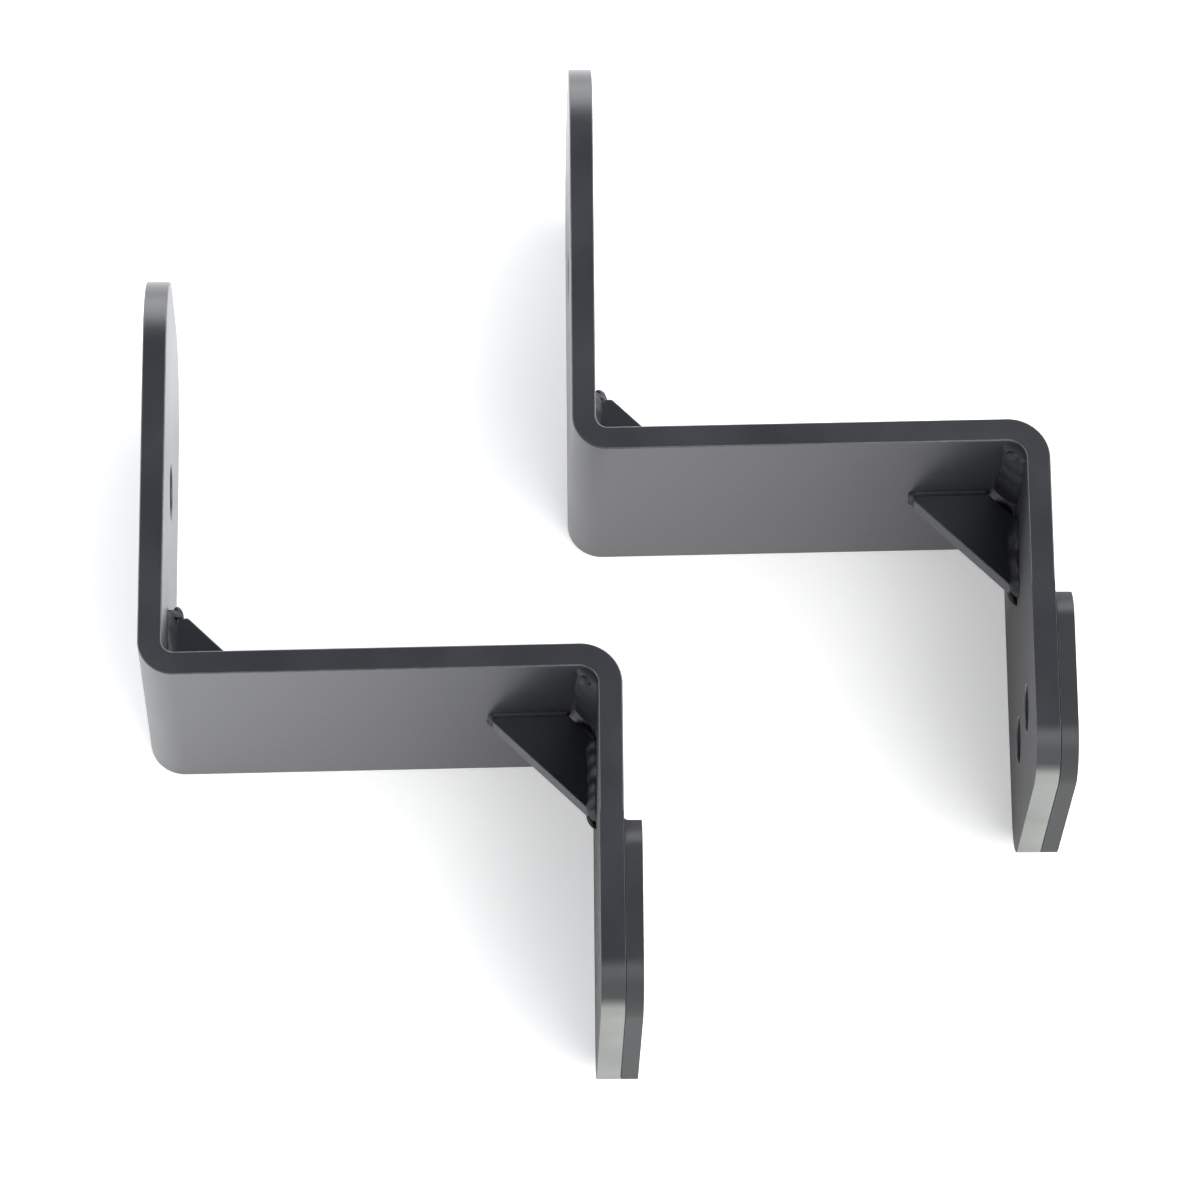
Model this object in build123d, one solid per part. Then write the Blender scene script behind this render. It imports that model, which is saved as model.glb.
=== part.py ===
from build123d import *
from math import cos, radians, tan
import os

# A pair of welded Z-shaped brackets of bent flat bar, standing on one long edge.
# Frame: +X from the upper flange to the lower flange, +Y up the flanges, +Z up from the
# surface the pair stands on, across the width of the bar.
# The origin is the bottom centre of the pair's bounding box.
# A bracket is drawn with X = 0 on the outer face of its upper flange and Y = 0 where that
# face would meet the underside of the web, and is then moved to its place.

# Flat bar and bends
BAR_WIDTH = 75.0
BAR_THICKNESS = 6.0
FLANGE_OFFSET = 120.0  # outer face of the upper flange to outer face of the lower flange
UPPER_REACH = 115.0  # top end, above Y = 0
LOWER_REACH = 85.0  # bottom end, below Y = 0
WEB_SLOPE = 1.2  # degrees that the web rises towards the lower flange
UPPER_BEND_RADIUS = 3.0  # inside radius
LOWER_BEND_RADIUS = 4.5  # inside radius
UPPER_END_RADIUS = 26.0  # corners of the upper flange's end
LOWER_END_RADIUS = 12.5  # corners of the lower flange's end, and of the doubler's lower end

# Bolt holes
UPPER_HOLE_DIAMETER = 14.5
UPPER_HOLE_HEIGHT = 63.5  # above Y = 0
LOWER_HOLE_DIAMETER = 12.0
LOWER_HOLE_EDGE_DISTANCE = 25.0  # from the lower flange's end
LOWER_HOLE_SPACING = 24.0  # across the bar

# Doubler plate on the outer face of the lower flange
DOUBLER_THICKNESS = 4.5
DOUBLER_LENGTH = 50.0
DOUBLER_TOP_RADIUS = 10.5

# Gusset plates in the two inside corners
GUSSET_THICKNESS = 6.0
UPPER_GUSSET_RISE = 22.0  # along the flange
UPPER_GUSSET_LEG = 25.0  # along the web
LOWER_GUSSET_LEG = 26.0  # along both
UPPER_GUSSET_NOSE = 5.0  # width of the cut-off tip on the flange
LOWER_GUSSET_NOSE = 2.0
WEB_NOSE = 2.0  # height of the cut-off tip on the web
GUSSET_CORNER_CUT = 7.5  # clears the inside radius of the bend

# Weld beads
BEAD_LEG = 3.0
BEAD_INSET = 1.0  # a bead stops this far before the end of its joint
CORNER_BEAD_REACH = 2.2  # past the inside radius of the bend
CORNER_BEAD_END = 1.5  # from the edge of the bar
CORNER_BEAD_GAP = 0.5  # from the gusset
DOUBLER_BEAD_END = 2.5  # from where the doubler's corners start to round

# Place of each bracket's box centre
PAIR_SPACING_X = 108.0
PAIR_SPACING_Y = 60.0
SIDES = {"right": 1, "left": -1}

MIDDLE = BAR_WIDTH / 2
SLOPE = tan(radians(WEB_SLOPE))
UPPER_FACE = BAR_THICKNESS  # inner face of the upper flange, in X
LOWER_FACE = FLANGE_OFFSET - BAR_THICKNESS  # inner face of the lower flange, in X
WEB_RISE = BAR_THICKNESS / cos(radians(WEB_SLOPE))  # the web's thickness, measured along Y


def underside(x):
    """Height of the web's underside at x."""
    return SLOPE * x


def topside(x):
    """Height of the web's upper face at x."""
    return underside(x) + WEB_RISE


def prism(points, vector):
    """The flat polygon through points, pushed along vector."""
    outline = Face(Wire.make_polygon([Vector(*point) for point in points], close=True))
    return Solid.extrude(outline, Vector(*vector))


def bore(x, y, z, diameter, depth):
    """A cylinder along X that starts at x."""
    cutter = Cylinder(diameter / 2, depth, align=(Align.CENTER, Align.CENTER, Align.MIN))
    return Pos(x, y, z) * Rot(0, 90, 0) * cutter


def edges_at_end(part, y):
    """The edges along X at the height y."""
    return part.edges().filter_by(Axis.X).filter_by_position(Axis.Y, y - 0.01, y + 0.01)


def lower_hole_places():
    """Z of the two holes in the lower flange."""
    return (MIDDLE - LOWER_HOLE_SPACING / 2, MIDDLE + LOWER_HOLE_SPACING / 2)


def cut_lower_holes(part, x, thickness):
    """Drills the two lower holes through a plate that starts at x."""
    height = LOWER_HOLE_EDGE_DISTANCE - LOWER_REACH
    for z in lower_hole_places():
        part = part - bore(x - 1, height, z, LOWER_HOLE_DIAMETER, thickness + 2)
    return part


def bent_bar():
    """The Z-shaped bar: upper flange, sloping web and lower flange."""
    profile = Polygon(
        (0, UPPER_REACH),
        (0, underside(0)),
        (LOWER_FACE, underside(LOWER_FACE)),
        (LOWER_FACE, -LOWER_REACH),
        (FLANGE_OFFSET, -LOWER_REACH),
        (FLANGE_OFFSET, topside(FLANGE_OFFSET)),
        (UPPER_FACE, topside(UPPER_FACE)),
        (UPPER_FACE, UPPER_REACH),
        align=None,
    )
    bends = (
        (0, underside(0), UPPER_BEND_RADIUS + BAR_THICKNESS),
        (UPPER_FACE, topside(UPPER_FACE), UPPER_BEND_RADIUS),
        (LOWER_FACE, underside(LOWER_FACE), LOWER_BEND_RADIUS),
        (FLANGE_OFFSET, topside(FLANGE_OFFSET), LOWER_BEND_RADIUS + BAR_THICKNESS),
    )
    for x, y, radius in bends:
        corner = profile.vertices().sort_by_distance((x, y, 0))[0]
        profile = fillet(corner, radius)
    bar = extrude(profile, BAR_WIDTH)
    bar = fillet(edges_at_end(bar, UPPER_REACH), UPPER_END_RADIUS)
    bar = fillet(edges_at_end(bar, -LOWER_REACH), LOWER_END_RADIUS)
    bar = bar - bore(-1, UPPER_HOLE_HEIGHT, MIDDLE, UPPER_HOLE_DIAMETER, BAR_THICKNESS + 2)
    return cut_lower_holes(bar, LOWER_FACE, BAR_THICKNESS)


def upper_gusset():
    """Triangular plate between the upper flange and the web's upper face."""
    tip = topside(UPPER_FACE) + UPPER_GUSSET_RISE
    toe = UPPER_FACE + UPPER_GUSSET_LEG
    start = UPPER_FACE + GUSSET_CORNER_CUT
    low = MIDDLE - GUSSET_THICKNESS / 2
    outline = (
        (UPPER_FACE, topside(UPPER_FACE) + GUSSET_CORNER_CUT, low),
        (start, topside(start), low),
        (toe, topside(toe), low),
        (toe, topside(toe) + WEB_NOSE, low),
        (UPPER_FACE + UPPER_GUSSET_NOSE, tip, low),
        (UPPER_FACE, tip, low),
    )
    return prism(outline, (0, 0, GUSSET_THICKNESS))


def lower_gusset():
    """Triangular plate between the lower flange and the web's underside."""
    tip = underside(LOWER_FACE) - LOWER_GUSSET_LEG
    toe = LOWER_FACE - LOWER_GUSSET_LEG
    start = LOWER_FACE - GUSSET_CORNER_CUT
    low = MIDDLE - GUSSET_THICKNESS / 2
    outline = (
        (LOWER_FACE, underside(LOWER_FACE) - GUSSET_CORNER_CUT, low),
        (start, underside(start), low),
        (toe, underside(toe), low),
        (toe, underside(toe) - WEB_NOSE, low),
        (LOWER_FACE - LOWER_GUSSET_NOSE, tip, low),
        (LOWER_FACE, tip, low),
    )
    return prism(outline, (0, 0, GUSSET_THICKNESS))


def doubler_plate():
    """Pad on the outer face of the lower flange, flush with its end."""
    plate = Box(DOUBLER_THICKNESS, DOUBLER_LENGTH, BAR_WIDTH, align=(Align.MIN, Align.MIN, Align.MIN))
    plate = Pos(FLANGE_OFFSET, -LOWER_REACH, 0) * plate
    plate = fillet(edges_at_end(plate, -LOWER_REACH), LOWER_END_RADIUS)
    plate = fillet(edges_at_end(plate, DOUBLER_LENGTH - LOWER_REACH), DOUBLER_TOP_RADIUS)
    return cut_lower_holes(plate, FLANGE_OFFSET, DOUBLER_THICKNESS)


def fillet_bead(start, end, across, along):
    """A three-cornered bead in the corner line from start to end, with a leg on each plate."""
    start = Vector(*start)
    corners = (start, start + Vector(*across) * BEAD_LEG, start + Vector(*along) * BEAD_LEG)
    return prism([tuple(corner) for corner in corners], tuple(Vector(*end) - start))


def gusset_beads(face, inward, web_height, web_side, rise, leg):
    """Beads on both sides of a gusset, along its rise on the flange and its leg on the web."""
    beads = []
    for side in (-1, 1):
        z = MIDDLE + side * GUSSET_THICKNESS / 2
        corner = web_height(face)
        beads.append(
            fillet_bead(
                (face, corner + web_side * (GUSSET_CORNER_CUT + BEAD_INSET), z),
                (face, corner + web_side * (rise - BEAD_INSET), z),
                (inward, 0, 0),
                (0, 0, side),
            )
        )
        near = face + inward * (GUSSET_CORNER_CUT + BEAD_INSET)
        far = face + inward * (leg - BEAD_INSET)
        square_to_web = Vector(-SLOPE, 1, 0).normalized() * web_side
        beads.append(
            fillet_bead(
                (near, web_height(near), z),
                (far, web_height(far), z),
                tuple(square_to_web),
                (0, 0, side),
            )
        )
    return Compound(beads)


def upper_gusset_welds():
    return gusset_beads(UPPER_FACE, 1, topside, 1, UPPER_GUSSET_RISE, UPPER_GUSSET_LEG)


def lower_gusset_welds():
    return gusset_beads(LOWER_FACE, -1, underside, -1, LOWER_GUSSET_LEG, LOWER_GUSSET_LEG)


def lower_corner_welds():
    """Two beads in the inside radius of the lower bend, one on each side of the gusset."""
    reach = LOWER_BEND_RADIUS + CORNER_BEAD_REACH
    corner = underside(LOWER_FACE)
    length = MIDDLE - GUSSET_THICKNESS / 2 - CORNER_BEAD_GAP - CORNER_BEAD_END
    bar = bent_bar()
    beads = []
    for low in (CORNER_BEAD_END, BAR_WIDTH - CORNER_BEAD_END - length):
        outline = (
            (LOWER_FACE, corner, low),
            (LOWER_FACE - reach, underside(LOWER_FACE - reach), low),
            (LOWER_FACE, corner - reach, low),
        )
        beads += (prism(outline, (0, 0, length)) - bar).solids()
    return Compound(beads)


def doubler_weld():
    """A bead along the top edge of the doubler."""
    top = DOUBLER_LENGTH - LOWER_REACH
    inset = DOUBLER_TOP_RADIUS + DOUBLER_BEAD_END
    return fillet_bead(
        (FLANGE_OFFSET, top, inset),
        (FLANGE_OFFSET, top, BAR_WIDTH - inset),
        (1, 0, 0),
        (0, 1, 0),
    )


def placed(part, side):
    """Moves a piece from the bracket's drawing to its place in the pair."""
    centre_x = (FLANGE_OFFSET + DOUBLER_THICKNESS) / 2
    centre_y = (UPPER_REACH - LOWER_REACH) / 2
    return Pos(side * PAIR_SPACING_X / 2 - centre_x, side * PAIR_SPACING_Y / 2 - centre_y, 0) * part


PIECES = {
    "bent_bar": bent_bar,
    "upper_gusset": upper_gusset,
    "lower_gusset": lower_gusset,
    "doubler_plate": doubler_plate,
    "upper_gusset_welds": upper_gusset_welds,
    "lower_gusset_welds": lower_gusset_welds,
    "lower_corner_welds": lower_corner_welds,
    "doubler_weld": doubler_weld,
}

os.makedirs("parts", exist_ok=True)
for piece, make in PIECES.items():
    drawing = make()
    for name, side in SIDES.items():
        export_step(placed(drawing, side), f"parts/{name}_{piece}.step")
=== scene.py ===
from math import atan2, ceil, cos, hypot, radians, sin, tan

import bpy
import numpy as np
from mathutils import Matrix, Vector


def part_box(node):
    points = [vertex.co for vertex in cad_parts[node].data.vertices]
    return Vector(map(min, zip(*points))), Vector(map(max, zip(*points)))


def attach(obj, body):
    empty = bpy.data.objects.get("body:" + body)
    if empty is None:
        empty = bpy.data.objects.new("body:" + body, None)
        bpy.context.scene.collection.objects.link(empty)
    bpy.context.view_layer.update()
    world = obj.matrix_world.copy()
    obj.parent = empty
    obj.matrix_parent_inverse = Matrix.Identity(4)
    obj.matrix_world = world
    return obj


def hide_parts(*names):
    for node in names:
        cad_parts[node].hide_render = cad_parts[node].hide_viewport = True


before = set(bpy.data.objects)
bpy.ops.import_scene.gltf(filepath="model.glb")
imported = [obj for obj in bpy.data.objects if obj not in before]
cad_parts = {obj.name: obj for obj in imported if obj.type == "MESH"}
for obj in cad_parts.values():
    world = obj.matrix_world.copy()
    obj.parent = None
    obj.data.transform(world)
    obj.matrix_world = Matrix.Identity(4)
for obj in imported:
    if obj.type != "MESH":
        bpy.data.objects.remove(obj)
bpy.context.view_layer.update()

# A pair of welded Z-shaped brackets of bent flat bar, powder coated satin black.
# Shapes are worked out in millimetres in a bracket's own drawing: X = 0 on the outer face of
# the upper flange, Y = 0 where that face would meet the web's underside, Z up from the floor.
# placed() turns them into metres in the frame.

MM = 0.001

# Flat bar and its two bends
WIDTH = 75.0
THICKNESS = 6.0
OFFSET = 120.0  # outer face of the upper flange to outer face of the lower flange
UPPER_REACH = 115.0
LOWER_REACH = 85.0
WEB_SLOPE = radians(1.2)
UPPER_BEND = 3.0  # inside radius
LOWER_BEND = 4.5  # inside radius
UPPER_END = 26.0  # corner radius of the upper flange's end
LOWER_END = 12.5  # corner radius of the lower flange's end

# Holes: distance from the flange's end, height across the bar, radius
UPPER_HOLES = ((51.5, 37.5, 7.25),)
LOWER_HOLES = ((25.0, 25.5, 6.0), (25.0, 49.5, 6.0))
UPPER_HOLE_CELL = 10.5  # half the square of mesh round a hole
LOWER_HOLE_CELL = 9.0

# Doubler plate
DOUBLER_THICKNESS = 4.5
DOUBLER_LENGTH = 50.0
DOUBLER_TOP = 10.5  # corner radius of its top end

# Gussets
GUSSET = 6.0  # thickness
UPPER_RISE = 22.0  # along the flange
UPPER_LEG = 25.0  # along the web
LOWER_LEG = 26.0  # along both
UPPER_NOSE = 5.0  # blunt tip on the upper flange
LOWER_NOSE = 2.0  # and on the lower flange
WEB_NOSE = 2.0  # and on the web
CORNER_CUT = 7.5  # clears the bend

# Edges and surface
BAR_EDGE = 0.4  # rounding of a rolled and coated edge
PLATE_EDGE = 0.12  # and of a sheared one, or one pressed against the doubler
HOLE_EDGE = 0.4
GUSSET_CORNER = 0.8
GUSSET_EDGE = 0.4
SEAM = 0.15  # the coat leaves this much open between the doubler and the bar
FLANGE_SHADE_MARK = 0.4  # mark of painted shade, darker and rougher: 0.5 is the darkest and dullest, and 1 is the full pale painted reflection
FLANGE_SHADE_REACH = 20.0
END_HIGHLIGHT_MARK = 1.0  # the bar's lower end gets the full pale painted reflection
PLATE_END_SHADE_MARK = 0.5  # and the doubler's two ends get painted shade only: rougher and darker
SHEET_STEP = 1.5  # spacing of the mesh lines on a flat
BEND_STEP = 0.4  # and round a bend
ARC_STEPS = 16  # steps round a corner of an outline
EDGE_STEPS = 5  # steps round a rounded edge
CORNER_STEPS = 6  # points round a gusset's corner

# Weld beads: their two legs
FLANGE_BEAD = (2.3, 3.1)  # gusset to flange
WEB_BEAD = (0.8, 1.0)  # gusset to web
NOSE_BEAD = (3.2, 2.4)  # over the upper gusset's nose
TOE_BEAD = (1.3, 1.3)  # over the lower gusset's toe
CORNER_BEAD = (5.2, 4.4)
DOUBLER_BEAD = (3.0, 3.0)
BEAD_STEP = 0.14  # spacing of the sections along a bead
BEAD_ARC = 15  # points round a section
TOE_DEPTH = 0.12  # how far a bead's toes sink into the plates
FIRST_SEED = 40  # the right bracket's; the left one's is the next

# Colours painted in for light and shade: painted shade, a painted highlight on edges, and a pale painted
# reflection
PAINTED_SHADE_COLOUR = "#0b0c0e"
EDGE_HIGHLIGHT_COLOUR = "#4b4d4f"
END_HIGHLIGHT_COLOUR = "#7d7f7b"

# Studio
TENT_WALL = 4.1  # brightness of its back and its right
TENT_TOP = 0.09  # and overhead
TENT_FRONT = 0.25  # share of the wall's in front
TENT_LEFT = 0.8  # and on the left
TENT_COLOUR = (0.96, 0.98, 1, 1)
KEY_DIRECTION = (-32, 44)  # azimuth from +X and elevation, in degrees
KEY_DISTANCE = 2.2  # metres
KEY_SIZE = 3.0
KEY_POWER = 95
TABLE_HALF = 4.0
TABLE_GLOW = 0.34  # light that comes up through the table

# Camera: metres and degrees, and millimetres of lens
CAMERA_PLACE = (-0.0349, -0.5805, 1.5264)
CAMERA_TURN = (20.936, -1.111, -0.526)
CAMERA_LENS = 187.9

MIDDLE = WIDTH / 2
UPPER_FACE = THICKNESS  # inner face of the upper flange, in X
LOWER_FACE = OFFSET - THICKNESS  # inner face of the lower flange, in X
WEB_RISE = THICKNESS / cos(WEB_SLOPE)


def underside(x):
    """Height of the web's underside at x."""
    return x * tan(WEB_SLOPE)


def topside(x):
    """Height of the web's upper face at x."""
    return underside(x) + WEB_RISE


# ---------------------------------------------------------------- meshes


class Skin:
    """Patches of points on grids, gathered and sewn into one closed mesh."""

    def __init__(self):
        self.points, self.normals, self.wear, self.bare, self.quads = [], [], [], [], []
        self.count = 0

    def patch(self, points, normals, wrap=False, keep=None, wear=0.0, bare=0.0):
        """Adds a grid of points, rows by columns by 3. wrap joins the last column to the first,
        and keep says which of its cells are skinned. The two marks carry a painted highlight on edges,
        and painted shade then a painted reflection."""
        points, normals = np.broadcast_arrays(points, normals)
        rows, columns = points.shape[:2]
        index = self.count + np.arange(rows * columns).reshape(rows, columns)
        right = np.roll(index, -1, axis=1)
        cells = np.stack([index[:-1], right[:-1], right[1:], index[1:]], axis=-1)
        if not wrap:
            cells = cells[:, :-1]
        if keep is not None:
            cells = cells[keep]
        self.quads.append(cells.reshape(-1, 4))
        self.points.append(points.reshape(-1, 3))
        self.normals.append(normals.reshape(-1, 3))
        self.wear.append(np.broadcast_to(wear, (rows, columns)).ravel())
        self.bare.append(np.broadcast_to(bare, (rows, columns)).ravel())
        self.count += rows * columns

    def sewn(self):
        """Merges points that share a place to a micron, drops what no cell uses, and turns every
        cell so that it faces the way its normals do."""
        points = np.concatenate(self.points)
        normals = np.concatenate(self.normals)
        quads = np.concatenate(self.quads)
        used = np.unique(quads)
        keys = np.round(points[used] * 1000).astype(np.int64)
        _, first, same = np.unique(keys, axis=0, return_index=True, return_inverse=True)
        lookup = np.zeros(len(points), np.int64)
        lookup[used] = same.ravel()
        chosen = used[first]
        points, normals, quads = points[chosen], normals[chosen], lookup[quads]
        corners = points[quads]
        facing = np.cross(corners[:, 2] - corners[:, 0], corners[:, 3] - corners[:, 1])
        turned = np.einsum("ij,ij->i", facing, normals[quads].sum(axis=1)) < 0
        quads[turned] = quads[turned, ::-1]
        doubled = quads == np.roll(quads, -1, axis=1)
        whole = ~doubled.any(axis=1)
        triangles = quads[doubled.sum(axis=1) == 1]
        triangles = triangles[~(triangles == np.roll(triangles, -1, axis=1))].reshape(-1, 3)
        faces = quads[whole].tolist() + triangles.tolist()
        wear, bare = np.concatenate(self.wear)[chosen], np.concatenate(self.bare)[chosen]
        return points, normals, faces, wear, bare


def unit(vectors):
    """Vectors scaled to length one."""
    return vectors / np.linalg.norm(vectors, axis=-1, keepdims=True)


def stations(stops, sizes):
    """Values through every stop, with steps no longer than the size given for each run."""
    runs = []
    for low, high, size in zip(stops, stops[1:], sizes):
        count = max(1, ceil((high - low) / size - 1e-6))
        runs.append(np.linspace(low, high, count + 1)[:-1])
    return np.concatenate([*runs, stops[-1:]])


def edge_profile(half):
    """Round the edge of a plate from its lower face to its upper one: a quarter circle, the wall, a
    quarter circle. Gives, in shares of the rounding, how far each point is drawn in and lifted, then
    its normal's lean outward and rise, and the height of the face it belongs to."""
    turn = np.linspace(0, np.pi / 2, EDGE_STEPS + 1)
    dip = np.concatenate([1 - np.sin(turn), 1 - np.sin(turn[::-1])])
    lift = np.concatenate([np.cos(turn) - 1, 1 - np.cos(turn[::-1])])
    lean = np.concatenate([np.sin(turn), np.sin(turn[::-1])])
    rise = np.concatenate([-np.cos(turn), np.cos(turn[::-1])])
    base = np.concatenate([np.full(len(turn), -half), np.full(len(turn), half)])
    return dip, lift, lean, rise, base


def fan(skin, loop, outward):
    """Closes a loop of points with a fan about its middle."""
    hub = np.broadcast_to(loop.mean(axis=0), loop.shape)
    skin.patch(np.stack([loop, hub]), outward, wrap=True)


class Blank:
    """A flat strip before it is folded: s along it, z across it and n through it.
    Its outline is a rectangle with an arc in each corner, and it has round holes. edge gives the
    rounding of its edges at any s."""

    def __init__(self, length, width, thickness, first_corner, last_corner, edge, holes, lines):
        self.width, self.half, self.holes = width, thickness / 2, holes
        turn = np.linspace(0, np.pi / 2, ARC_STEPS + 1)
        inner = lines[1:-1]
        self.centre = np.concatenate(
            [np.full(len(turn), first_corner), inner, np.full(len(turn), length - last_corner)]
        )
        self.out_s = np.concatenate([-np.cos(turn), np.zeros(len(inner)), np.cos(turn[::-1])])
        self.out_z = np.concatenate([np.sin(turn), np.ones(len(inner)), np.sin(turn[::-1])])
        self.corner = np.concatenate(
            [np.full(len(turn), first_corner), np.full(len(inner) + len(turn), last_corner)]
        )
        self.flat = width / 2 - self.corner
        self.edge = edge(self.centre + self.corner * self.out_s)
        across = stations([0.0, width], [SHEET_STEP])
        self.share = np.clip((across - width / 2) / (width / 2 - self.edge.max()), -1, 1)

    def face(self):
        """The grid of s and z inside the rounded edge: each row is as wide as the outline there."""
        reach = self.corner - self.edge
        s = self.centre + reach * self.out_s
        wide = self.flat + reach * self.out_z
        z = self.width / 2 + self.share[None, :] * wide[:, None]
        return np.broadcast_to(s[:, None], z.shape), z

    def rim(self, inset):
        """The outline drawn in by a share of the edge's rounding: points (s, z), outward normals
        and the rounding itself, once round."""
        reach = self.corner - self.edge * inset
        s = self.centre + reach * self.out_s
        wide = self.flat + reach * self.out_z
        middle = self.width / 2
        between = self.share[1:-1]
        low = np.stack([s, middle - wide], axis=-1)
        high = np.stack([s, middle + wide], axis=-1)
        last = np.stack([np.full(len(between), s[-1]), middle + between * wide[-1]], axis=-1)
        first = np.stack([np.full(len(between), s[0]), middle + between * wide[0]], axis=-1)
        points = np.concatenate([low, last, high[::-1], first[::-1]])
        out_low = np.stack([self.out_s, -self.out_z], axis=-1)
        out_high = np.stack([self.out_s, self.out_z], axis=-1)
        ahead = np.broadcast_to([1.0, 0.0], last.shape)
        normals = np.concatenate([out_low, ahead, out_high[::-1], -ahead])
        first_edge = np.full(len(between), self.edge[0])
        last_edge = np.full(len(between), self.edge[-1])
        edges = np.concatenate([self.edge, last_edge, self.edge[::-1], first_edge])
        return points, normals, edges

    def openings(self, s, z):
        """Which cells of the face are left round the holes, and each hole with the loop of points
        round its opening."""
        keep = np.ones((s.shape[0] - 1, s.shape[1] - 1), bool)
        loops = []
        for hole_s, hole_z, radius, half in self.holes:
            rows = np.flatnonzero(np.abs(s[:, 0] - hole_s) < half + 1e-6)
            columns = np.flatnonzero(np.abs(z[len(z) // 2] - hole_z) < half + 1e-6)
            top, bottom, left, right = rows[0], rows[-1], columns[0], columns[-1]
            keep[top:bottom, left:right] = False
            down, over = np.arange(top, bottom), np.arange(left, right)
            i = [down, np.full(len(over), bottom), down[::-1] + 1, np.full(len(over), top)]
            j = [np.full(len(down), left), over, np.full(len(down), right), over[::-1] + 1]
            i, j = np.concatenate(i), np.concatenate(j)
            loops.append((hole_s, hole_z, radius, np.stack([s[i, j], z[i, j]], axis=-1)))
        return keep, loops

    def skin(self, fold, first_bare=0.0, last_bare=0.0, flange_shade=None):
        """The strip's whole surface, folded: two faces, a rounded rim and rounded holes. The last argument
        gives the painted shade of the lower face at any s."""
        skin = Skin()
        s, z = self.face()
        keep, loops = self.openings(s, z)
        for side in (-1, 1):
            flat = (np.zeros_like(s), np.zeros_like(s), np.full_like(s, side))
            marks = {"keep": keep}
            if flange_shade and side < 0:
                marks["bare"] = flange_shade(s)
            self.lay(skin, fold, (s, z, np.full_like(s, side * self.half)), flat, **marks)
            for hole_s, hole_z, radius, loop in loops:
                spoke = loop - (hole_s, hole_z)
                reach = np.linalg.norm(spoke, axis=-1)
                inward = np.linspace(0, 1, EDGE_STEPS + 1)[:, None]
                length = reach * (1 - inward) + (radius + HOLE_EDGE) * inward
                ring_s = hole_s + length * spoke[:, 0] / reach
                ring_z = hole_z + length * spoke[:, 1] / reach
                flat = (np.zeros_like(ring_s), np.zeros_like(ring_s), np.full_like(ring_s, side))
                height = np.full_like(ring_s, side * self.half)
                marks = {"wrap": True}
                if flange_shade and side < 0:
                    marks["bare"] = flange_shade(ring_s)
                self.lay(skin, fold, (ring_s, ring_z, height), flat, **marks)
        dip, lift, lean, rise, base = edge_profile(self.half)
        # Painted highlight, strongest half way round each rounded edge
        wear = 2 * lean * np.abs(rise)
        rings = [self.rim(inset) for inset in dip]
        points = np.stack([ring[0] for ring in rings])
        normals = np.stack([ring[1] for ring in rings])
        height = base[:, None] - rings[0][2] * lift[:, None]
        out = (
            normals[..., 0] * lean[:, None],
            normals[..., 1] * lean[:, None],
            np.broadcast_to(rise[:, None], points.shape[:2]),
        )
        # The painted light of an end comes in two stages round its corners: first rougher and painted
        # darker, a painted shade, then a pale painted reflection on the end itself
        ahead = normals[..., 0]
        dull = np.clip((np.abs(ahead) - 0.15) / 0.4, 0, 1)
        end_highlight = np.clip((np.abs(ahead) - 0.8) / 0.12, 0, 1)
        limit = np.where(ahead < 0, first_bare, last_bare)
        bare = np.minimum((dull + end_highlight) / 2, limit) * lean[:, None]
        marks = {"wear": wear[:, None], "bare": bare}
        self.lay(skin, fold, (points[..., 0], points[..., 1], height), out, wrap=True, **marks)
        for hole_s, hole_z, radius, loop in loops:
            spoke = unit(loop - (hole_s, hole_z))
            length = (radius + HOLE_EDGE * dip)[:, None]
            ring = (hole_s + length * spoke[:, 0], hole_z + length * spoke[:, 1])
            height = np.broadcast_to((base - HOLE_EDGE * lift)[:, None], ring[0].shape)
            out = (
                -spoke[:, 0] * lean[:, None],
                -spoke[:, 1] * lean[:, None],
                np.broadcast_to(rise[:, None], ring[0].shape),
            )
            self.lay(skin, fold, (*ring, height), out, wrap=True, wear=wear[:, None])
        return skin

    @staticmethod
    def lay(skin, fold, place, out, **marks):
        """Adds a patch given in s, z and n, with normals in the same three."""
        points, ahead, aside = fold(place[0], place[2])
        points = np.stack([points[..., 0], points[..., 1], place[1]], axis=-1)
        flat = ahead * out[0][..., None] + aside * out[2][..., None]
        upward = np.broadcast_to(out[1], place[1].shape)
        skin.patch(points, np.stack([flat[..., 0], flat[..., 1], upward], axis=-1), **marks)


def path_of(start, heading, runs):
    """A fold along runs of (length, turn): a straight run carries a point forward, and a bend
    turns it about the bend's centre, which is length / turn away. n is measured to the left."""

    def fold(s, n):
        place = np.zeros((*s.shape, 2))
        ahead = np.zeros((*s.shape, 2))
        corner, course, begun = np.array(start, float), heading, 0.0
        for number, (length, turn) in enumerate(runs):
            here = s >= begun - 1e-9
            if number:
                here &= s > begun
            gone = s[here] - begun
            angle = course + turn * gone / length
            forward = np.stack([np.cos(angle), np.sin(angle)], axis=-1)
            left = np.stack([-np.sin(angle), np.cos(angle)], axis=-1)
            aside = np.array([-sin(course), cos(course)])
            if turn:
                point = corner + (aside - left) * (length / turn)
            else:
                point = corner + forward * gone[:, None]
            place[here] = point + left * n[here][:, None]
            ahead[here] = forward
            after = course + turn
            if turn:
                corner = corner + (aside - np.array([-sin(after), cos(after)])) * (length / turn)
            else:
                corner = corner + np.array([cos(course), sin(course)]) * length
            course, begun = after, begun + length
        return place, ahead, np.stack([-ahead[..., 1], ahead[..., 0]], axis=-1)

    return fold


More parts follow.
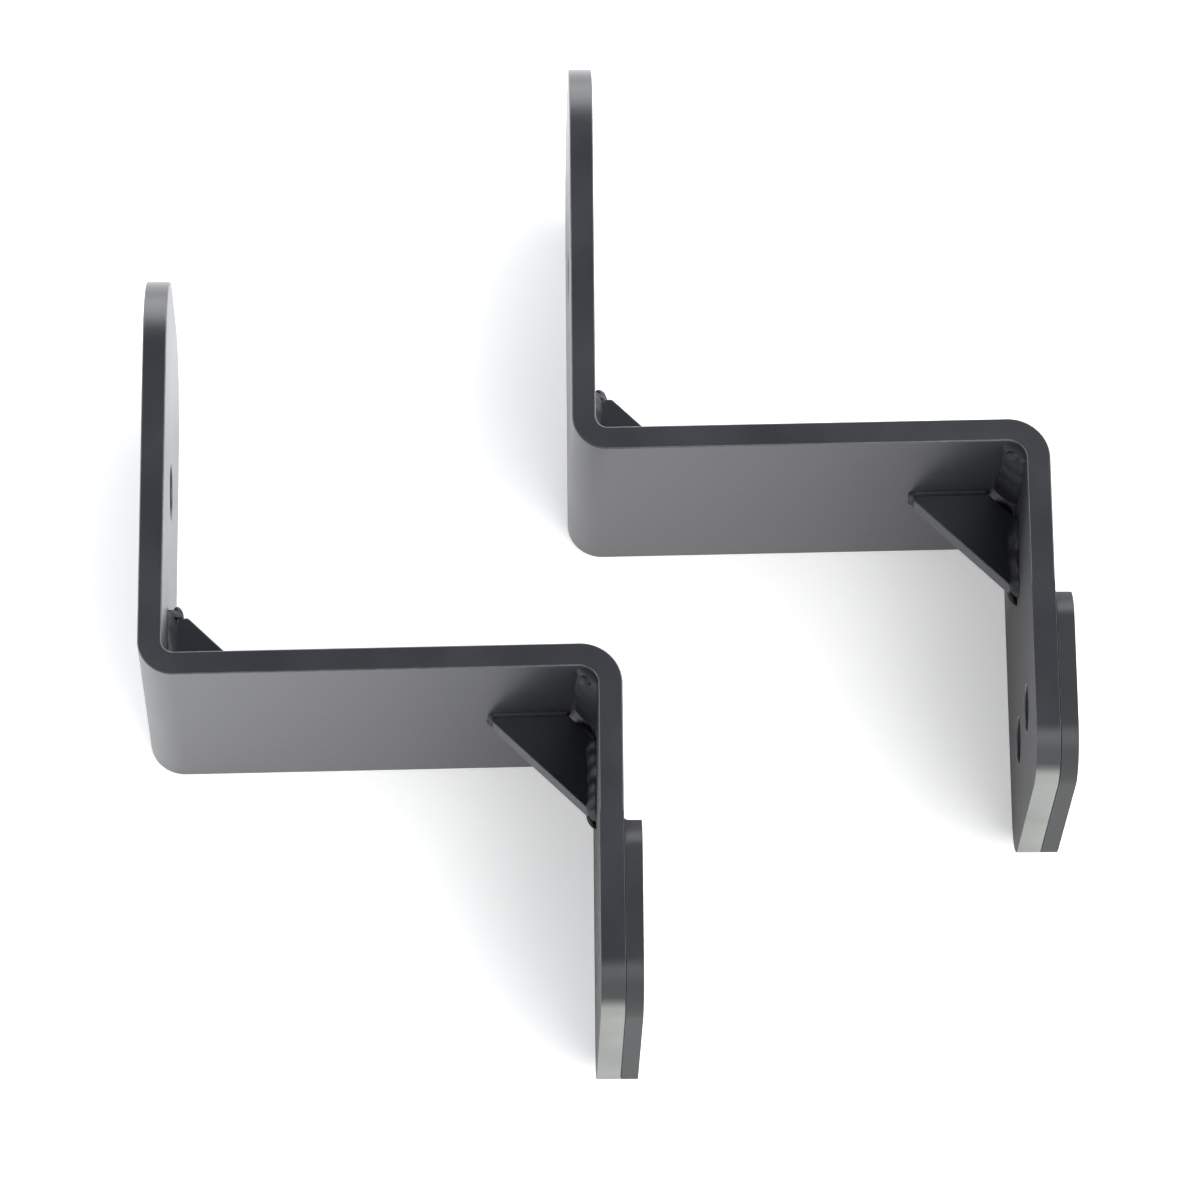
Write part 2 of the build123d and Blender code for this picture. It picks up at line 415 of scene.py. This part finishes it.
def bar_skin():
    """The Z-shaped bar: a blank folded down the upper flange, along the web and down the lower flange."""
    turn = np.pi / 2 + WEB_SLOPE
    half = THICKNESS / 2
    upper_radius, lower_radius = UPPER_BEND + half, LOWER_BEND + half
    upper_x, lower_x = half, OFFSET - half
    upper_y, lower_y = (underside(x) + WEB_RISE / 2 for x in (upper_x, lower_x))
    upper_setback, lower_setback = upper_radius * tan(turn / 2), lower_radius * tan(turn / 2)
    web = hypot(lower_x - upper_x, lower_y - upper_y) - upper_setback - lower_setback
    runs = (
        (UPPER_REACH - upper_y - upper_setback, 0.0),
        (upper_radius * turn, turn),
        (web, 0.0),
        (lower_radius * turn, -turn),
        (LOWER_REACH + lower_y - lower_setback, 0.0),
    )
    length = sum(run for run, _ in runs)
    bends = np.cumsum([run for run, _ in runs])
    holes = [(s, z, radius, UPPER_HOLE_CELL) for s, z, radius in UPPER_HOLES]
    holes += [(length - s, z, radius, LOWER_HOLE_CELL) for s, z, radius in LOWER_HOLES]
    upper, lower = holes[0][0], holes[1][0]
    stops = [UPPER_END, upper - UPPER_HOLE_CELL, upper + UPPER_HOLE_CELL, *bends[:4]]
    stops += [lower - LOWER_HOLE_CELL, lower + LOWER_HOLE_CELL, length - LOWER_END]
    sizes = [SHEET_STEP] * 3 + [BEND_STEP, SHEET_STEP, BEND_STEP] + [SHEET_STEP] * 3
    lines = stations(stops, sizes)

    def edge(s):
        return np.where(s < length - DOUBLER_LENGTH, BAR_EDGE, PLATE_EDGE)

    def flange_shade(s):
        """Painted shade on the inner face of the lower flange, darker and rougher: it deepens over its
        reach below the bend, and then stays so."""
        return FLANGE_SHADE_MARK * np.clip((s - bends[3]) / FLANGE_SHADE_REACH, 0, 1)

    blank = Blank(length, WIDTH, THICKNESS, UPPER_END, LOWER_END, edge, holes, lines)
    fold = path_of((upper_x, UPPER_REACH), -np.pi / 2, runs)
    return blank.skin(fold, last_bare=END_HIGHLIGHT_MARK, flange_shade=flange_shade)


def slab(skin, low, high):
    """A closed block between two corners."""
    (x0, y0, z0), (x1, y1, z1) = low, high
    ring = np.array([(x0, y0), (x1, y0), (x1, y1), (x0, y1)], float)
    loops = [np.column_stack([ring, np.full(4, z)]) for z in (z0, z1)]
    out = np.column_stack([unit(ring - ring.mean(axis=0)), np.zeros(4)])
    skin.patch(np.stack(loops), out, wrap=True)
    for loop, side in zip(loops, (-1.0, 1.0)):
        fan(skin, loop, np.array([0.0, 0.0, side]))


def doubler_skin():
    """The doubler: a short flat blank with the lower flange's holes and end. A little way in from its
    outline the coat bridges the seam, so that no light comes through."""
    start = (OFFSET + (DOUBLER_THICKNESS + SEAM) / 2, DOUBLER_LENGTH - LOWER_REACH)
    holes = [(DOUBLER_LENGTH - s, z, radius, LOWER_HOLE_CELL) for s, z, radius in LOWER_HOLES]
    row = holes[0][0]
    stops = [DOUBLER_TOP, row - LOWER_HOLE_CELL, row + LOWER_HOLE_CELL, DOUBLER_LENGTH - LOWER_END]
    lines = stations(stops, [SHEET_STEP] * 3)

    def edge(s):
        return np.full_like(s, PLATE_EDGE)

    thickness = DOUBLER_THICKNESS - SEAM
    blank = Blank(DOUBLER_LENGTH, WIDTH, thickness, DOUBLER_TOP, LOWER_END, edge, holes, lines)
    fold = path_of(start, -np.pi / 2, ((DOUBLER_LENGTH, 0.0),))
    skin = blank.skin(fold, PLATE_END_SHADE_MARK, PLATE_END_SHADE_MARK)
    # Each bridge runs from one distance from the top end to another, and from one height to another
    bridges = (
        (3.5, 46.0, 4.0, 10.0),
        (3.5, 46.0, WIDTH - 10.0, WIDTH - 4.0),
        (1.0, 4.0, 9.0, WIDTH - 9.0),
        (45.0, 49.0, 11.0, WIDTH - 11.0),
    )
    near, far = OFFSET + 0.01, OFFSET + SEAM + 0.05
    for first, last, low, high in bridges:
        slab(skin, (near, start[1] - last, low), (far, start[1] - first, high))
    return skin


def gusset_skin(outline):
    """A flat plate of a convex outline, centred across the bar. Each point of its rim is an arc's
    centre plus what is left of the corner's radius times the outward normal."""
    outline = np.array(outline, float)
    area = np.cross(outline, np.roll(outline, -1, axis=0)).sum()
    if area < 0:
        outline = outline[::-1]
    sides = unit(np.roll(outline, -1, axis=0) - outline)
    out = np.stack([sides[:, 1], -sides[:, 0]], axis=-1)
    centres, normals = [], []
    for number, point in enumerate(outline):
        before, after = out[number - 1], out[number]
        swing = np.arctan2(np.cross(before, after), before @ after)
        start = atan2(before[1], before[0])
        angles = start + np.linspace(0, swing, CORNER_STEPS)
        centre = point - (before + after) * GUSSET_CORNER / (1 + before @ after)
        centres.append(np.broadcast_to(centre, (len(angles), 2)))
        normals.append(np.stack([np.cos(angles), np.sin(angles)], axis=-1))
    centres, normals = np.concatenate(centres), np.concatenate(normals)
    dip, lift, lean, rise, base = edge_profile(GUSSET / 2)
    rings = centres + (GUSSET_CORNER - GUSSET_EDGE * dip[:, None, None]) * normals
    level = (MIDDLE + base - GUSSET_EDGE * lift)[:, None, None]
    height = np.broadcast_to(level, (*rings.shape[:2], 1))
    up = np.broadcast_to(rise[:, None, None], (*rings.shape[:2], 1))
    skin = Skin()
    skin.patch(
        np.concatenate([rings, height], axis=-1),
        np.concatenate([normals * lean[:, None, None], up], axis=-1),
        wrap=True,
        # Painted highlight along the gusset's rounded edges
        wear=(2 * lean * np.abs(rise))[:, None],
    )
    for ring, side in ((0, -1), (-1, 1)):
        loop = np.concatenate([rings[ring], height[ring]], axis=-1)
        fan(skin, loop, np.array([0.0, 0.0, side]))
    return skin


def upper_gusset_outline():
    """Corner cut, web toe, nose on the web, slope, nose on the flange."""
    tip = topside(UPPER_FACE) + UPPER_RISE
    toe, start = UPPER_FACE + UPPER_LEG, UPPER_FACE + CORNER_CUT
    return (
        (UPPER_FACE, topside(UPPER_FACE) + CORNER_CUT),
        (start, topside(start)),
        (toe, topside(toe)),
        (toe, topside(toe) + WEB_NOSE),
        (UPPER_FACE + UPPER_NOSE, tip),
        (UPPER_FACE, tip),
    )


def lower_gusset_outline():
    """The same under the web, against the lower flange."""
    tip = underside(LOWER_FACE) - LOWER_LEG
    toe, start = LOWER_FACE - LOWER_LEG, LOWER_FACE - CORNER_CUT
    return (
        (LOWER_FACE, underside(LOWER_FACE) - CORNER_CUT),
        (start, underside(start)),
        (toe, underside(toe)),
        (toe, underside(toe) - WEB_NOSE),
        (LOWER_FACE - LOWER_NOSE, tip),
        (LOWER_FACE, tip),
    )


def wander(rng, distance, wavelength, height):
    """A smooth random line: a few sines of seeded phase, with wavelengths about the given one."""
    total = np.zeros_like(distance)
    for share in (2.3, 1.0, 0.55):
        phase = rng.uniform(0, 2 * np.pi)
        angle = 2 * np.pi * distance / (wavelength * share) + phase
        total += height * share ** 0.5 / 2 * np.sin(angle)
    return total


def bead(
    skin, rng, start, end, leg_a, leg_b, sizes, lumps=0.05, run=1.5, bulge=1.45, ripples=0.016, root=-0.2
):
    """A fillet weld laid from start to end, with one leg along each plate, as long as sizes says.
    Across it the section is the superellipse arc (cos^bulge, sin^bulge) between the two toes. Along it
    each leg wanders by a share lumps, humps of sin squared every half a leg leave the ripples, and a
    quarter ellipse run legs long tapers both ends. root is how far the section's inner corner stands
    out from where the plates would meet: below zero it is sunk in them."""
    start, end = np.array(start, float), np.array(end, float)
    leg_a, leg_b = unit(np.array(leg_a, float)), unit(np.array(leg_b, float))
    length = np.linalg.norm(end - start)
    distance = np.linspace(0, length, max(24, ceil(length / BEAD_STEP)))
    size = sum(sizes) / 2
    pitch, wave = size / 2, 2.6 * size
    left = np.minimum(distance, length - distance) / (run * size)
    taper = np.sqrt(np.clip(1 - (1 - np.clip(left, 0, 1)) ** 2, 0.0, 1))
    size_a = sizes[0] * (taper + 0.02) * (1 + wander(rng, distance, wave, lumps))
    size_b = sizes[1] * (taper + 0.02) * (1 + wander(rng, distance, wave, lumps))
    angle = np.linspace(0, np.pi / 2, BEAD_ARC)
    bow = np.sin(2 * angle)
    shift = distance[:, None] / pitch + 0.55 * bow + wander(rng, distance, 6.0, 0.3)[:, None]
    ripple = ripples * size * taper[:, None] * np.sin(np.pi * shift) ** 2 * bow ** 0.5
    swell = 1 + wander(rng, distance, wave, lumps)[:, None] * bow
    across_a = size_a[:, None] * np.cos(angle) ** bulge * swell + ripple * np.cos(angle)
    across_b = size_b[:, None] * np.sin(angle) ** bulge * swell + ripple * np.sin(angle)
    sunk = np.full((len(distance), 1), -TOE_DEPTH)
    inner = root * (taper[:, None] if root > 0 else np.ones_like(sunk))
    across_a = np.concatenate([inner, across_a[:, :-1], sunk], axis=1)
    across_b = np.concatenate([inner, sunk, across_b[:, 1:]], axis=1)
    along = start + (end - start) * (distance / length)[:, None]
    points = along[:, None] + across_a[..., None] * leg_a + across_b[..., None] * leg_b
    core = along + (leg_a * size_a[:, None] + leg_b * size_b[:, None]) * 0.3
    skin.patch(points, points - core[:, None], wrap=True)
    fan(skin, points[0], start - end)
    fan(skin, points[-1], end - start)


def blob(skin, rng, centre, size, lumps):
    """A lump of weld: an ellipsoid by latitude and longitude, its radius wandering both ways."""
    across = np.linspace(0, 2 * np.pi, 40, endpoint=False)
    down = np.linspace(0, np.pi, 21)
    latitude, longitude = np.meshgrid(down, across, indexing="ij")
    broad = np.sin(2 * longitude + rng.uniform(0, 6))
    fine = np.sin(3 * longitude + 2 * latitude + rng.uniform(0, 6))
    radius = 1 + lumps * np.sin(latitude) * (broad + fine / 2)
    out = np.stack(
        [np.sin(latitude) * np.cos(longitude), np.sin(latitude) * np.sin(longitude), np.cos(latitude)],
        axis=-1,
    )
    skin.patch(np.array(centre) + out * radius[..., None] * np.array(size), out, wrap=True)


def gusset_bead_skin(rng, face, inward, height, way, rise, leg, past):
    """The beads on both sides of a gusset, along its rise on the flange and its leg on the web.
    height gives the web's face at any X, way is up or down from it, and past is how far the flange's
    beads run out beyond the gusset."""
    skin = Skin()
    for side in (-1, 1):
        z = MIDDLE + side * GUSSET / 2
        low, high = height(face) + way * (CORNER_CUT - 1), height(face) + way * (rise + past)
        ends = (face, low, z), (face, high, z)
        bead(skin, rng, *ends, (inward, 0, 0), (0, 0, side), FLANGE_BEAD, lumps=0.1, ripples=0.006)
        near, far = face + inward * (CORNER_CUT - 1), face + inward * (leg + 0.6)
        ends = (near, height(near), z), (far, height(far), z)
        bead(skin, rng, *ends, (0, way, 0), (0, 0, side), WEB_BEAD)
    return skin


def upper_bead_skin(rng):
    """Upper gusset: the beads meet over its nose in one heavy lump on the flange."""
    skin = gusset_bead_skin(rng, UPPER_FACE, 1, topside, 1, UPPER_RISE, UPPER_LEG, 1.5)
    top = topside(UPPER_FACE) + UPPER_RISE
    reach = GUSSET / 2 + 1.2
    ends = [(UPPER_FACE, top, MIDDLE + side * reach) for side in (-1, 1)]
    bead(skin, rng, *ends, (1, 0, 0), (0, 1, 0), NOSE_BEAD, lumps=0.1, run=0.8, bulge=1.3)
    blob(skin, rng, (UPPER_FACE + 2.2, top + 0.4, MIDDLE + 0.2), (1.7, 3.1, 3.0), lumps=0.16)
    return skin


def lower_bead_skin(rng):
    """Lower gusset: the flange's beads run to points below it, and a lump closes its toe on the web."""
    skin = gusset_bead_skin(rng, LOWER_FACE, -1, underside, -1, LOWER_LEG, LOWER_LEG, 3.0)
    toe = LOWER_FACE - LOWER_LEG
    ends = [(toe, underside(toe), MIDDLE + side * (GUSSET / 2 + 0.8)) for side in (-1, 1)]
    bead(skin, rng, *ends, (-1, 0, 0), (0, -1, 0), TOE_BEAD, lumps=0.12, run=1.2)
    return skin


def corner_bead_skin(rng):
    """Two beads in the inside radius of the lower bend, each ending in a heavier lump at the bar's edge."""
    skin = Skin()
    corner = underside(LOWER_FACE)
    for side in (-1, 1):
        inner, outer = MIDDLE + side * (GUSSET / 2 + 0.5), MIDDLE + side * (MIDDLE - 1.6)
        ends = (LOWER_FACE, corner, inner), (LOWER_FACE, corner, outer)
        shape = {"run": 0.35, "bulge": 1.7, "ripples": 0.004, "root": 0.6}
        bead(skin, rng, *ends, (-1, 0, 0), (0, -1, 0), CORNER_BEAD, **shape)
        lump = LOWER_FACE - 2.6, corner - 2.4, outer - side * 2.4
        blob(skin, rng, lump, (1.9, 1.6, 1.5), lumps=0.08)
    return skin


def doubler_bead_skin(rng):
    """One bead along the top edge of the doubler."""
    skin = Skin()
    top, inset = DOUBLER_LENGTH - LOWER_REACH, DOUBLER_TOP + 2.5
    ends = ((OFFSET, top, inset), (OFFSET, top, WIDTH - inset))
    bead(skin, rng, *ends, (1, 0, 0), (0, 1, 0), DOUBLER_BEAD)
    return skin


# ---------------------------------------------------------------- finishes


def linear(code):
    """An sRGB hex colour as linear RGBA."""
    values = [int(code[i : i + 2], 16) / 255 for i in (1, 3, 5)]
    return (*(v / 12.92 if v <= 0.04045 else ((v + 0.055) / 1.055) ** 2.4 for v in values), 1.0)


def add(tree, kind, inputs=None, **settings):
    """Adds a node with its settings, and links or sets each of its inputs."""
    node = tree.nodes.new(kind)
    for name, value in settings.items():
        setattr(node, name, value)
    for socket, value in (inputs or {}).items():
        if isinstance(value, bpy.types.NodeSocket):
            tree.links.new(value, node.inputs[socket])
        else:
            node.inputs[socket].default_value = value
    return node


def product(tree, first, second):
    """The product of two values."""
    return add(tree, "ShaderNodeMath", {0: first, 1: second}, operation="MULTIPLY").outputs["Value"]


def blend(tree, factor, first, second):
    """The first colour, giving way to the second as the factor rises."""
    inputs = {"Factor": factor, "A": first, "B": second}
    return add(tree, "ShaderNodeMix", inputs, data_type="RGBA").outputs["Result"]


def ramp(tree, value, start, end, first, last, **settings):
    """A value from first to last while the given one goes from start to end."""
    inputs = {"Value": value, "From Min": start, "From Max": end, "To Min": first, "To Max": last}
    return add(tree, "ShaderNodeMapRange", inputs, **settings).outputs["Result"]


def empty_material(name):
    """A material with nothing in it but its output."""
    material = bpy.data.materials.new(name)
    material.use_nodes = True
    material.node_tree.nodes.clear()
    return material, material.node_tree


def powder_coat(name, base, pale, roughness, peel, shine=0.5):
    """Satin black polyester powder coat, sprayed on as a powder and oven cured. It gives a soft wide gloss
    that pales at a low angle, a fine orange peel and a slight cloudiness. It also paints light and shade:
    a paler painted highlight on edges, and painted shade, darker and rougher, up to 0.5 of its second
    mark, and from there to 1 a pale painted reflection."""
    material, tree = empty_material(name)
    place = add(tree, "ShaderNodeTexCoord").outputs["Object"]
    # The two attributes carry a painted highlight on edges, and painted shade then a painted reflection
    wear = add(tree, "ShaderNodeAttribute", attribute_name="wear").outputs["Fac"]
    bare = add(tree, "ShaderNodeAttribute", attribute_name="bare").outputs["Fac"]
    # Clouds about 25 mm across, from uneven film thickness
    clouds = add(tree, "ShaderNodeTexNoise", {"Vector": place, "Scale": 40.0, "Detail": 3.0})
    clouds = clouds.outputs["Fac"]
    # Powder grains are 0.05 mm, drawn at 0.5 mm so that they show
    grains = add(tree, "ShaderNodeTexNoise", {"Vector": place, "Scale": 2000.0, "Detail": 1.0})
    # Orange peel has a wavelength of about 1.6 mm
    waves = add(tree, "ShaderNodeTexNoise", {"Vector": place, "Scale": 620.0, "Detail": 2.0})
    waves = waves.outputs["Fac"]
    film = blend(tree, ramp(tree, clouds, 0.35, 0.65, 0, 1), linear(base), linear(pale))
    # Painted shade: the film darkens towards the shade colour as the mark rises to 0.5
    shaded_film = blend(tree, ramp(tree, bare, 0, 0.5, 0, 0.7), film, linear(PAINTED_SHADE_COLOUR))
    # Painted highlight: rounded edges are painted paler, broken up by the peel
    highlight_share = product(tree, product(tree, wear, ramp(tree, waves, 0.3, 0.7, 0, 1)), 0.6)
    highlighted = blend(tree, highlight_share, shaded_film, linear(EDGE_HIGHLIGHT_COLOUR))
    # Painted reflection: past 0.5 of the mark the coat is painted pale, patchy with the clouds
    gone = product(tree, ramp(tree, bare, 0.5, 1, 0, 1), ramp(tree, clouds, 0.2, 0.8, 0.55, 1))
    colour = blend(tree, gone, highlighted, linear(END_HIGHLIGHT_COLOUR))
    gloss = ramp(tree, clouds, 0, 1, roughness - 0.05, roughness + 0.05)
    dull = ramp(tree, bare, 0, 0.5, 0, 0.4)
    rough = add(tree, "ShaderNodeMath", {0: gloss, 1: dull}, operation="ADD")
    peeled = add(tree, "ShaderNodeBump", {"Height": waves, "Strength": peel, "Distance": 0.00006})
    grained = add(
        tree,
        "ShaderNodeBump",
        {
            "Height": grains.outputs["Fac"],
            "Strength": peel,
            "Distance": 0.00001,
            "Normal": peeled.outputs["Normal"],
        },
    )
    shader = add(
        tree,
        "ShaderNodeBsdfPrincipled",
        {
            "Base Color": colour,
            "Roughness": rough.outputs["Value"],
            "IOR": 1.62,
            "Specular IOR Level": shine,
            "Normal": grained.outputs["Normal"],
        },
    )
    add(tree, "ShaderNodeOutputMaterial", {"Surface": shader.outputs["BSDF"]})
    return material


def table_acrylic():
    """Opal white acrylic sheet with a matt face, lit from below: even, with a fine tooth that only
    just breaks up the light."""
    material, tree = empty_material("matt_opal_acrylic")
    place = add(tree, "ShaderNodeTexCoord").outputs["Object"]
    tooth = add(tree, "ShaderNodeTexNoise", {"Vector": place, "Scale": 900.0, "Detail": 2.0})
    height = tooth.outputs["Fac"]
    bump = add(tree, "ShaderNodeBump", {"Height": height, "Strength": 0.05, "Distance": 0.00005})
    shader = add(
        tree,
        "ShaderNodeBsdfPrincipled",
        {
            "Base Color": linear("#f4f4f4"),
            "Roughness": 0.9,
            "Normal": bump.outputs["Normal"],
            "Emission Color": linear("#ffffff"),
            "Emission Strength": TABLE_GLOW,
        },
    )
    add(tree, "ShaderNodeOutputMaterial", {"Surface": shader.outputs["BSDF"]})
    return material


# ---------------------------------------------------------------- pieces


def placed(skin, side):
    """A skin's parts in metres in the frame, at one side's bracket."""
    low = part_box(f"{side}_bent_bar")[0]
    origin = np.array([low.x, low.y + LOWER_REACH * MM, low.z])
    points, normals, faces, wear, bare = skin.sewn()
    return points * MM + origin, normals, faces, wear, bare


def make_piece(side, label, skin, node, slot, material, drawn_normals):
    """Makes one piece of a bracket and says what it rides on and stands for.
    drawn_normals keeps the worked-out normals, so that flats stay flat beside a rounded edge."""
    points, normals, faces, wear, bare = placed(skin, side)
    mesh = bpy.data.meshes.new(f"{side}_{label}")
    mesh.from_pydata(points, [], faces)
    mesh.polygons.foreach_set("use_smooth", np.ones(len(faces), bool))
    # Point attributes for the coat: a painted highlight on edges, and painted shade then a painted
    # reflection
    for name, values in (("wear", wear), ("bare", bare)):
        mesh.attributes.new(name, "FLOAT", "POINT").data.foreach_set("value", values.astype(np.float32))
    if drawn_normals:
        mesh.normals_split_custom_set_from_vertices(unit(normals))
    mesh.materials.append(material)
    mesh.validate()
    piece = bpy.data.objects.new(f"{side}_{label}", mesh)
    bpy.context.scene.collection.objects.link(piece)
    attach(piece, f"{side}_bracket")
    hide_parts(f"{side}_{node}")


def make_brackets():
    """Both brackets, from the same blanks, with each bracket's own run of the welding torch."""
    name = "satin_black_powder_coat_on_"
    coats = {
        "coated_bar": powder_coat(name + "bar", "#222327", "#292a2e", 0.3, 0.35),
        "coated_plate": powder_coat(name + "plate", "#1b1c1e", "#212224", 0.36, 0.35),
        # Painted shade: the gussets' coat is a darker, bluer copy of the bar's, and the welds' a darker one
        "coated_gusset": powder_coat(name + "gusset", "#0c121c", "#101722", 0.4, 0.4),
        "coated_weld": powder_coat(name + "weld", "#0d0f12", "#111317", 0.52, 0.35, 0.3),
    }
    for number, side in enumerate(("right", "left")):
        rng = np.random.default_rng(FIRST_SEED + number)
        parts = (
            ("folded_bar", bar_skin(), "bent_bar", "coated_bar"),
            ("doubler_pad", doubler_skin(), "doubler_plate", "coated_plate"),
            ("upper_gusset_blank", gusset_skin(upper_gusset_outline()), "upper_gusset", "coated_gusset"),
            ("lower_gusset_blank", gusset_skin(lower_gusset_outline()), "lower_gusset", "coated_gusset"),
            ("upper_gusset_beads", upper_bead_skin(rng), "upper_gusset_welds", "coated_weld"),
            ("lower_gusset_beads", lower_bead_skin(rng), "lower_gusset_welds", "coated_weld"),
            ("corner_beads", corner_bead_skin(rng), "lower_corner_welds", "coated_weld"),
            ("doubler_bead", doubler_bead_skin(rng), "doubler_weld", "coated_weld"),
        )
        for label, skin, node, slot in parts:
            make_piece(side, label, skin, node, slot, coats[slot], slot != "coated_weld")


# ---------------------------------------------------------------- studio


def make_floor():
    """A plain white table under the pair."""
    mesh = bpy.data.meshes.new("white_table")
    corners = [(x * TABLE_HALF, y * TABLE_HALF, 0) for x, y in ((-1, -1), (1, -1), (1, 1), (-1, 1))]
    mesh.from_pydata(corners, [], [(0, 1, 2, 3)])
    mesh.materials.append(table_acrylic())
    floor = bpy.data.objects.new("white_table", mesh)
    bpy.context.scene.collection.objects.link(floor)


def soft_box(name, toward, distance, size, power):
    """A square soft box that faces the pair: toward is its azimuth from +X and its elevation."""
    azimuth, elevation = (radians(angle) for angle in toward)
    light = bpy.data.lights.new(name, "AREA")
    light.shape, light.size, light.energy = "SQUARE", size, power
    lamp = bpy.data.objects.new(name, light)
    lamp.location = (
        distance * cos(elevation) * cos(azimuth),
        distance * cos(elevation) * sin(azimuth),
        distance * sin(elevation),
    )
    lamp.rotation_euler = (0, np.pi / 2 - elevation, azimuth)
    bpy.context.scene.collection.objects.link(lamp)


def make_studio():
    """A white tent, darker overhead and in front, with one big soft box at the front right that throws
    the faint shadows back and left."""
    world = bpy.data.worlds.new("white_tent")
    bpy.context.scene.world = world
    world.use_nodes = True
    tree = world.node_tree
    tree.nodes.clear()
    way = add(tree, "ShaderNodeTexCoord").outputs["Generated"]
    parts = add(tree, "ShaderNodeSeparateXYZ", {"Vector": way}).outputs
    soft = {"interpolation_type": "SMOOTHSTEP"}
    wall = ramp(tree, parts["Z"], 0.45, 0.75, TENT_WALL, TENT_TOP, **soft)
    front = ramp(tree, parts["Y"], -0.75, -0.25, TENT_FRONT, 1, **soft)
    left = ramp(tree, parts["X"], -0.8, 0.2, TENT_LEFT, 1, **soft)
    strength = product(tree, wall, product(tree, left, front))
    shine = add(tree, "ShaderNodeBackground", {"Color": TENT_COLOUR, "Strength": strength})
    add(tree, "ShaderNodeOutputWorld", {"Surface": shine.outputs["Background"]})
    soft_box("key_soft_box", KEY_DIRECTION, KEY_DISTANCE, KEY_SIZE, KEY_POWER)
    view = bpy.context.scene.view_settings
    view.view_transform, view.look = "Standard", "None"


def make_camera():
    """A long lens high in front of the pair, a little to the left of its middle."""
    data = bpy.data.cameras.new("camera")
    data.sensor_width, data.lens = 36, CAMERA_LENS
    data.clip_end = 20
    camera = bpy.data.objects.new("camera", data)
    camera.location = CAMERA_PLACE
    camera.rotation_euler = tuple(radians(angle) for angle in CAMERA_TURN)
    bpy.context.scene.collection.objects.link(camera)
    bpy.context.scene.camera = camera


make_camera()
make_brackets()
make_floor()
make_studio()
